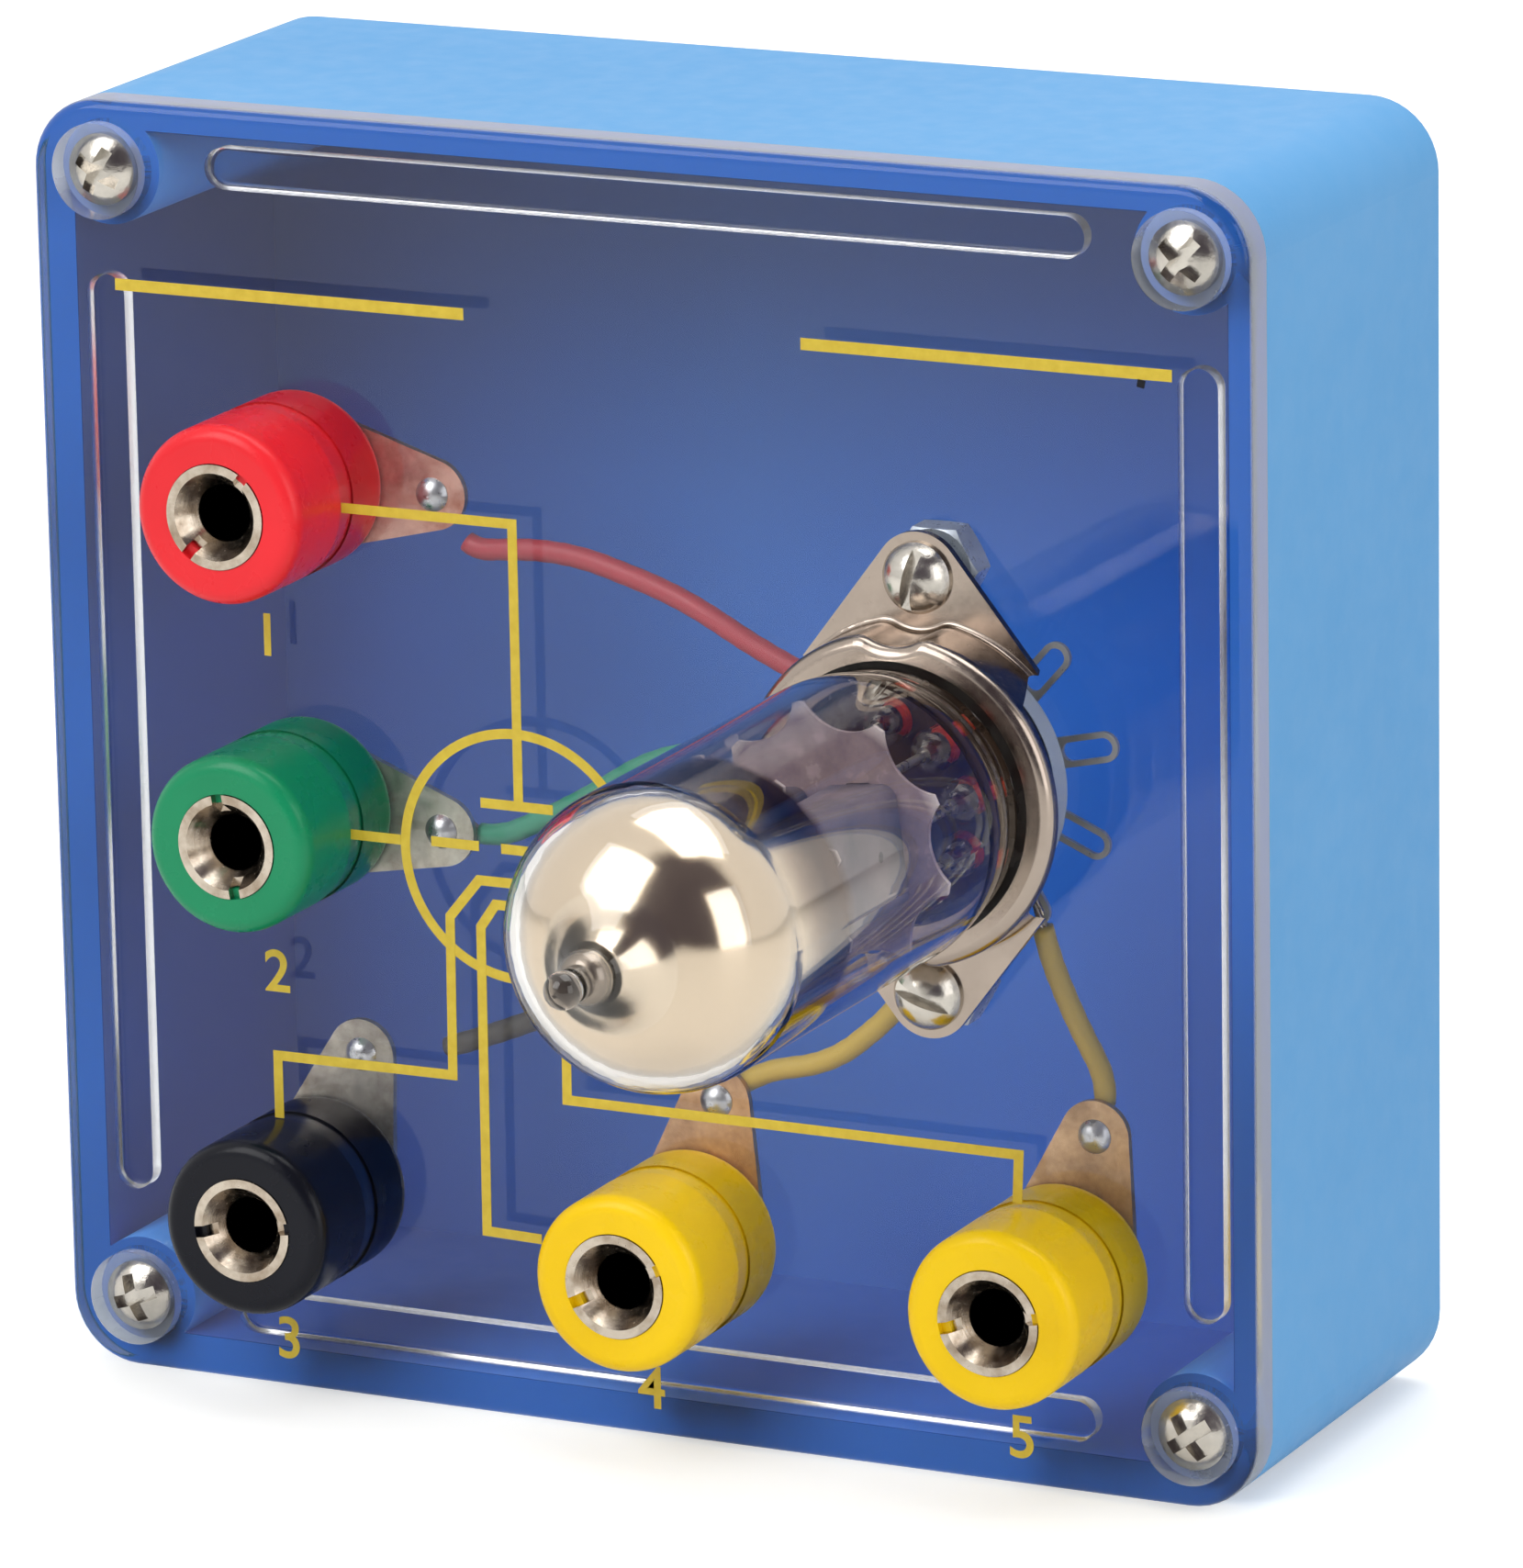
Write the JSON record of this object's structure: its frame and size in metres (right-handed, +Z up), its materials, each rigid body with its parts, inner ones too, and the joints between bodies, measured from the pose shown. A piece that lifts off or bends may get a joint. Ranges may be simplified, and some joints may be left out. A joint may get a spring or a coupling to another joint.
{
  "type": "triode tube demonstration unit",
  "caption": "Square plastic case with a clear lid that carries a glass triode tube in its holder and wired plug sockets.",
  "frame": {"origin": "middle of the case's bottom side, on the surface that it stands on", "axes": "+Z up, the lid and the tube face -Y, +X to the right as seen from the front"},
  "size_m": [0.0904, 0.0883, 0.0903],
  "materials": {
    "blue_case": "fine satin moulded plastic",
    "clear_lid": "clear polished plastic",
    "plated_screws": "bright nickel plate",
    "red_plastic": "glossy",
    "green_plastic": "glossy",
    "black_plastic": "glossy",
    "yellow_plastic": "glossy",
    "red_insulation": "satin",
    "green_insulation": "satin",
    "black_insulation": "satin",
    "yellow_insulation": "satin",
    "nickel_plate": "nickel plate",
    "brass_tag": "dull",
    "solder": "dull bright",
    "saddle_steel": "plated pressed steel",
    "black_moulding": "phenolic moulding",
    "tinned_contact": "tinned",
    "bulb_glass": "clear glass with a getter mirror",
    "mica": "thin mica sheet",
    "grey_anode": "carbonised nickel",
    "white_heater": "alumina coat"
  },
  "bodies": {
    "root": {"case_tray": "blue_case", "lid": "clear_lid", "lid_screws": "plated_screws", "anode_socket_cap": "red_plastic", "anode_socket_bush": "red_plastic", "anode_socket_sleeve": "nickel_plate", "anode_solder_tag": "brass_tag", "anode_wire": "red_insulation", "grid_socket_cap": "green_plastic", "grid_socket_bush": "green_plastic", "grid_socket_sleeve": "nickel_plate", "grid_solder_tag": "brass_tag", "grid_wire": "green_insulation", "cathode_socket_cap": "black_plastic", "cathode_socket_bush": "black_plastic", "cathode_socket_sleeve": "nickel_plate", "cathode_solder_tag": "brass_tag", "cathode_wire": "black_insulation", "heater_a_socket_cap": "yellow_plastic", "heater_a_socket_bush": "yellow_plastic", "heater_a_socket_sleeve": "nickel_plate", "heater_a_solder_tag": "brass_tag", "heater_a_wire": "yellow_insulation", "heater_b_socket_cap": "yellow_plastic", "heater_b_socket_bush": "yellow_plastic", "heater_b_socket_sleeve": "nickel_plate", "heater_b_solder_tag": "brass_tag", "heater_b_wire": "yellow_insulation", "socket_nuts": "nickel_plate", "tag_solder": "solder", "holder_saddle": "saddle_steel", "holder_body": "black_moulding", "holder_contact_0": "tinned_contact", "holder_contact_1": "tinned_contact", "holder_contact_2": "tinned_contact", "holder_contact_4": "tinned_contact", "holder_contact_5": "tinned_contact", "holder_contact_6": "tinned_contact", "holder_contact_7": "tinned_contact", "holder_contact_8": "tinned_contact", "holder_contact_9": "tinned_contact", "holder_screws": "plated_screws", "holder_nuts": "plated_screws", "tube_glass": "bulb_glass", "tube_pins": "nickel_plate", "tube_lower_mica": "mica", "tube_upper_mica": "mica", "tube_anode_a": "grey_anode", "tube_grid_a": "nickel_plate", "tube_cathode_a": "nickel_plate", "tube_heater_a": "white_heater", "tube_anode_b": "grey_anode", "tube_grid_b": "nickel_plate", "tube_cathode_b": "nickel_plate", "tube_heater_b": "white_heater", "tube_getter": "nickel_plate"}
  },
  "joints": []
}
